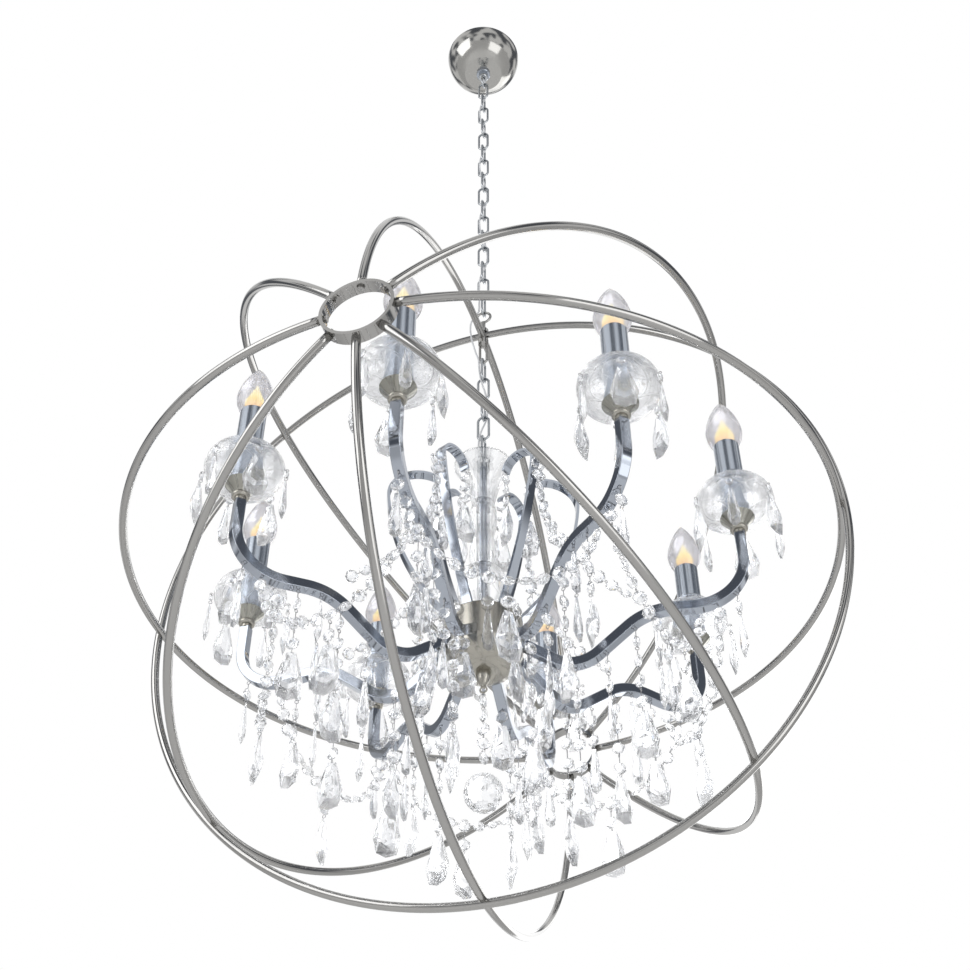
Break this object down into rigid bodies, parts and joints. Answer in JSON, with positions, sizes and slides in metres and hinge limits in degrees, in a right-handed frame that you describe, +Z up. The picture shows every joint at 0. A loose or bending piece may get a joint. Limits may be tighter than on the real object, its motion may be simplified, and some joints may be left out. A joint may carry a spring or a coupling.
{
  "type": "orb chandelier",
  "caption": "Crystal chandelier with candle arms, hung inside an open orb of tubular half hoops on a chain with a domed ceiling canopy",
  "frame": {"origin": "middle of the ceiling bracket's top face, where it meets the ceiling", "axes": "+Z up; the orb's two hubs lie along Y, and the first arm points along -Y"},
  "size_m": [0.714, 0.707, 1.311],
  "materials": {
    "chrome": "polished chrome plate",
    "clear_glass": "clear blown glass with wheel-cut lines",
    "crystal": "faceted clear crystal with wire pins",
    "bulb_glass": "clear candle bulb, warm filament",
    "zinc_steel": "zinc-plated steel strip",
    "holder_plastic": "moulded off-white plastic",
    "lead_sheath": "clear-silver cable sheath"
  },
  "bodies": {
    "ceiling_part": {"ceiling_bracket": "zinc_steel", "canopy_nipple": "chrome", "terminal_block": "holder_plastic", "canopy": "chrome"},
    "collar": {"collar_nut": "chrome"},
    "fixture_loop": {"canopy_loop": "chrome", "supply_lead_top": "lead_sheath"},
    "hanging_chain": {"upper_chain": "chrome", "supply_lead_upper": "lead_sheath"},
    "orb": {"orb_eye": "chrome", "lower_hook": "chrome", "cross_ring": "chrome", "front_hub": "chrome", "rear_hub": "chrome", "hub_screws": "chrome", "supply_lead_middle": "lead_sheath", "top_half_hoop": "chrome", "upper_right_half_hoop": "chrome", "right_half_hoop": "chrome", "lower_right_half_hoop": "chrome", "bottom_half_hoop": "chrome", "lower_left_half_hoop": "chrome", "left_half_hoop": "chrome", "upper_left_half_hoop": "chrome"},
    "short_chain": {"lower_chain": "chrome", "supply_lead_lower": "lead_sheath"},
    "swivel": {"stem_loop": "chrome"},
    "chandelier": {"centre_stem": "chrome", "glass_vase": "clear_glass", "glass_column": "clear_glass", "glass_urn": "clear_glass", "body_cover": "chrome", "body_bowl": "chrome", "finial": "chrome", "candle_necks": "chrome", "candle_dishes": "chrome", "glass_cups": "clear_glass", "candle_sleeves": "chrome", "lampholders": "holder_plastic", "crown_scrolls": "chrome", "crown_crystals": "crystal", "arm_crystals": "crystal", "cup_crystals": "crystal", "arm_1": "chrome", "arm_2": "chrome", "arm_3": "chrome", "arm_4": "chrome", "arm_5": "chrome", "arm_6": "chrome", "arm_7": "chrome", "arm_8": "chrome"},
    "ball": {"ball_drop": "crystal"},
    "lamp_1": {"bulb_1": "bulb_glass"},
    "lamp_2": {"bulb_2": "bulb_glass"},
    "lamp_3": {"bulb_3": "bulb_glass"},
    "lamp_4": {"bulb_4": "bulb_glass"},
    "lamp_5": {"bulb_5": "bulb_glass"},
    "lamp_6": {"bulb_6": "bulb_glass"},
    "lamp_7": {"bulb_7": "bulb_glass"},
    "lamp_8": {"bulb_8": "bulb_glass"}
  },
  "joints": [
    {"name": "collar_turn", "type": "hinge", "parent": "ceiling_part", "child": "collar", "pos_m": [0, 0, -0.0416], "axis": [0, 0, 1], "range_deg": [0, 720]},
    {"name": "fixture_turn", "type": "hinge", "parent": "ceiling_part", "child": "fixture_loop", "pos_m": [0, 0, -0.0478], "axis": [0, 0, 1], "range_deg": [-180, 180]},
    {"name": "chain_swing", "type": "hinge", "parent": "fixture_loop", "child": "hanging_chain", "pos_m": [0, 0, -0.0702], "axis": [0, 1, 0], "range_deg": [-8, 8]},
    {"name": "orb_swing", "type": "hinge", "parent": "hanging_chain", "child": "orb", "pos_m": [0, 0, -0.5605], "axis": [1, 0, 0], "range_deg": [-8, 8]},
    {"name": "short_chain_swing", "type": "hinge", "parent": "orb", "child": "short_chain", "pos_m": [0, 0, -0.6465], "axis": [1, 0, 0], "range_deg": [-3, 3]},
    {"name": "chandelier_swing", "type": "hinge", "parent": "short_chain", "child": "swivel", "pos_m": [0, 0, -0.797], "axis": [1, 0, 0], "range_deg": [-3, 3]},
    {"name": "chandelier_turn", "type": "hinge", "parent": "swivel", "child": "chandelier", "pos_m": [0, 0, -0.816], "axis": [0, 0, 1], "range_deg": [-180, 180]},
    {"name": "ball_swing", "type": "hinge", "parent": "chandelier", "child": "ball", "pos_m": [0, 0, -1.0974], "axis": [1, 0, 0], "range_deg": [-12, 12]},
    {"name": "bulb_turn_1", "type": "hinge", "parent": "chandelier", "child": "lamp_1", "pos_m": [0, -0.253, -0.8594], "axis": [0, 0, 1], "range_deg": [0, 720]},
    {"name": "bulb_turn_2", "type": "hinge", "parent": "chandelier", "child": "lamp_2", "pos_m": [0.1789, -0.1789, -0.8594], "axis": [0, 0, 1], "range_deg": [0, 720]},
    {"name": "bulb_turn_3", "type": "hinge", "parent": "chandelier", "child": "lamp_3", "pos_m": [0.253, 0, -0.8594], "axis": [0, 0, 1], "range_deg": [0, 720]},
    {"name": "bulb_turn_4", "type": "hinge", "parent": "chandelier", "child": "lamp_4", "pos_m": [0.1789, 0.1789, -0.8594], "axis": [0, 0, 1], "range_deg": [0, 720]},
    {"name": "bulb_turn_5", "type": "hinge", "parent": "chandelier", "child": "lamp_5", "pos_m": [0, 0.253, -0.8594], "axis": [0, 0, 1], "range_deg": [0, 720]},
    {"name": "bulb_turn_6", "type": "hinge", "parent": "chandelier", "child": "lamp_6", "pos_m": [-0.1789, 0.1789, -0.8594], "axis": [0, 0, 1], "range_deg": [0, 720]},
    {"name": "bulb_turn_7", "type": "hinge", "parent": "chandelier", "child": "lamp_7", "pos_m": [-0.253, 0, -0.8594], "axis": [0, 0, 1], "range_deg": [0, 720]},
    {"name": "bulb_turn_8", "type": "hinge", "parent": "chandelier", "child": "lamp_8", "pos_m": [-0.1789, -0.1789, -0.8594], "axis": [0, 0, 1], "range_deg": [0, 720]}
  ]
}
